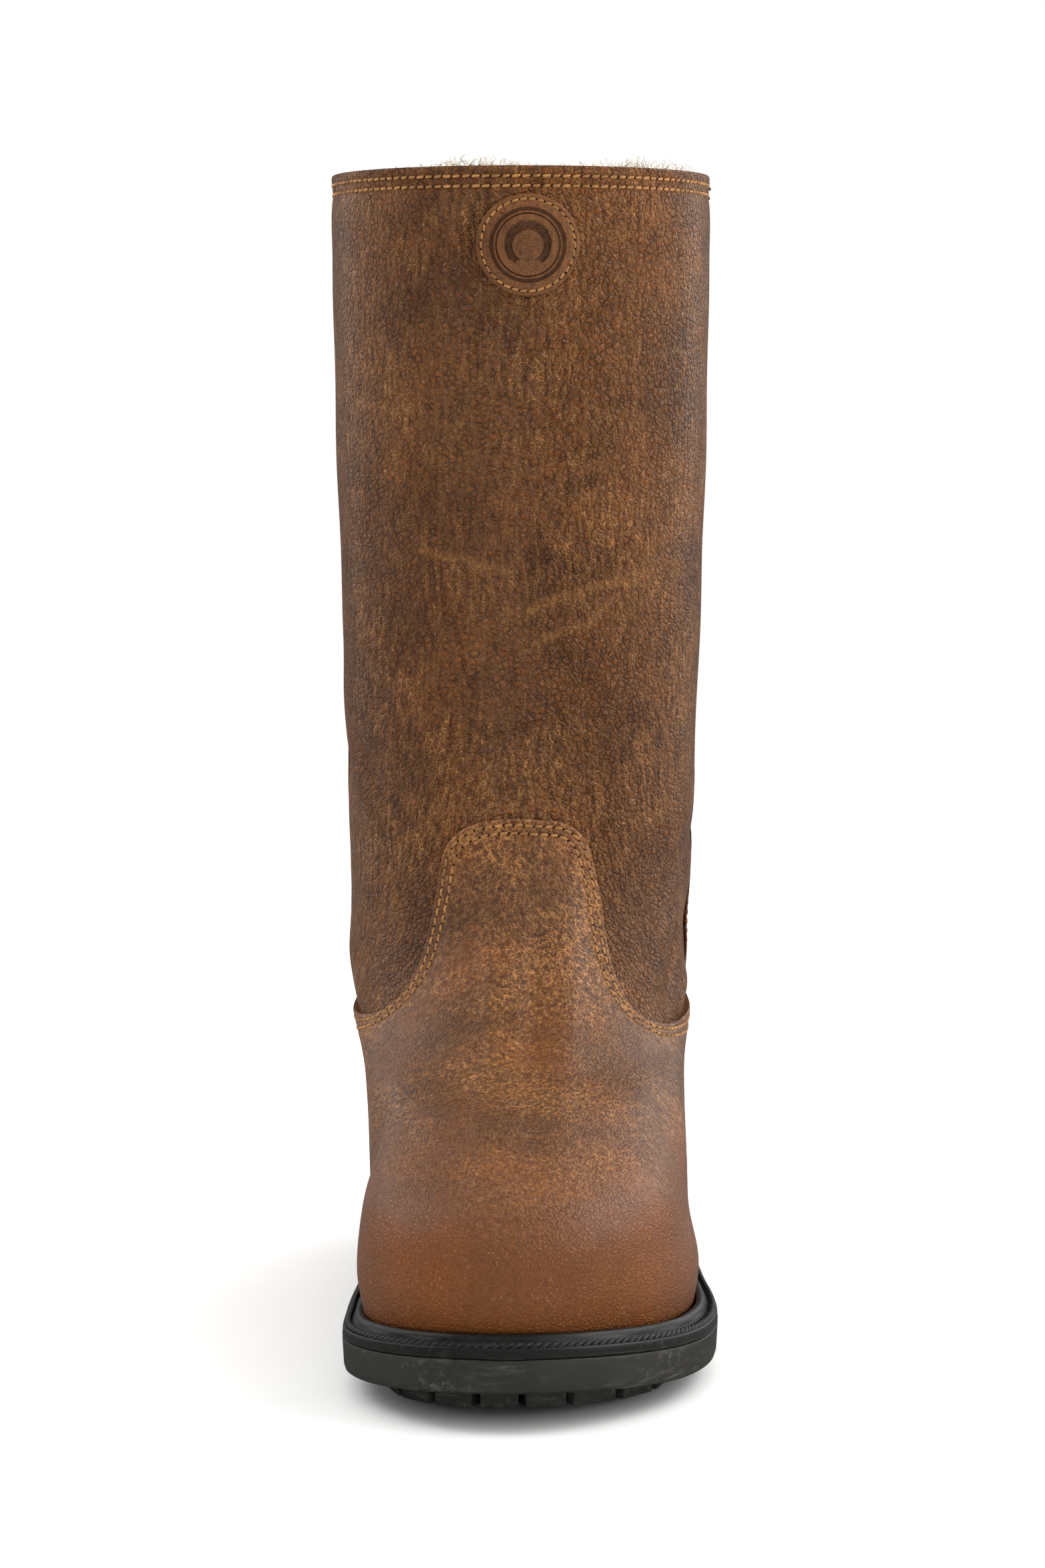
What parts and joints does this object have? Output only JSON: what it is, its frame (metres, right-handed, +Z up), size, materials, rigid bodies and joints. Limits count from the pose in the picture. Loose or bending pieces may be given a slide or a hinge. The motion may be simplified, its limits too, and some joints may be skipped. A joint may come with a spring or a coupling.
{
  "type": "riding boot",
  "caption": "Left pull-on winter riding boot: tall pebbled-leather shaft, stitched vamp with a high throat, shearling lining and a lugged rubber sole with a low heel.",
  "frame": {"origin": "centre of the heel's ground face", "axes": "+Z up along the shaft, -Y towards the toe, +X towards the outer side of the foot"},
  "size_m": [0.1282, 0.2997, 0.3543],
  "materials": {
    "leather": "pebbled, waxed",
    "shearling": "curly pile",
    "rubber": "matt",
    "thread": "waxed",
    "welt_thread": "waxed",
    "board": "fibreboard",
    "cork": "granular",
    "stiffener": "matt",
    "felt": "felted",
    "steel": "brushed"
  },
  "bodies": {
    "root": {"outsole": "rubber", "heel_block": "rubber", "heel_tread": "rubber", "welt": "rubber", "welt_stitching": "welt_thread", "bottom_filler": "cork", "shank": "steel", "insole_board": "board", "footbed_base": "felt", "footbed_fleece": "shearling", "vamp": "leather", "counter_cover": "leather", "shaft_front": "leather", "shaft_back": "leather", "toe_puff": "stiffener", "heel_stiffener": "stiffener", "collar_facing": "leather", "lining_foot": "shearling", "lining_shaft": "shearling", "collar_stitching_upper": "thread", "collar_stitching_lower": "thread", "vamp_stitching_edge": "thread", "vamp_stitching_inner": "thread", "side_stitching_medial": "thread", "side_stitching_lateral": "thread", "counter_stitching": "thread", "patch": "leather", "patch_stitching": "thread"}
  },
  "joints": []
}
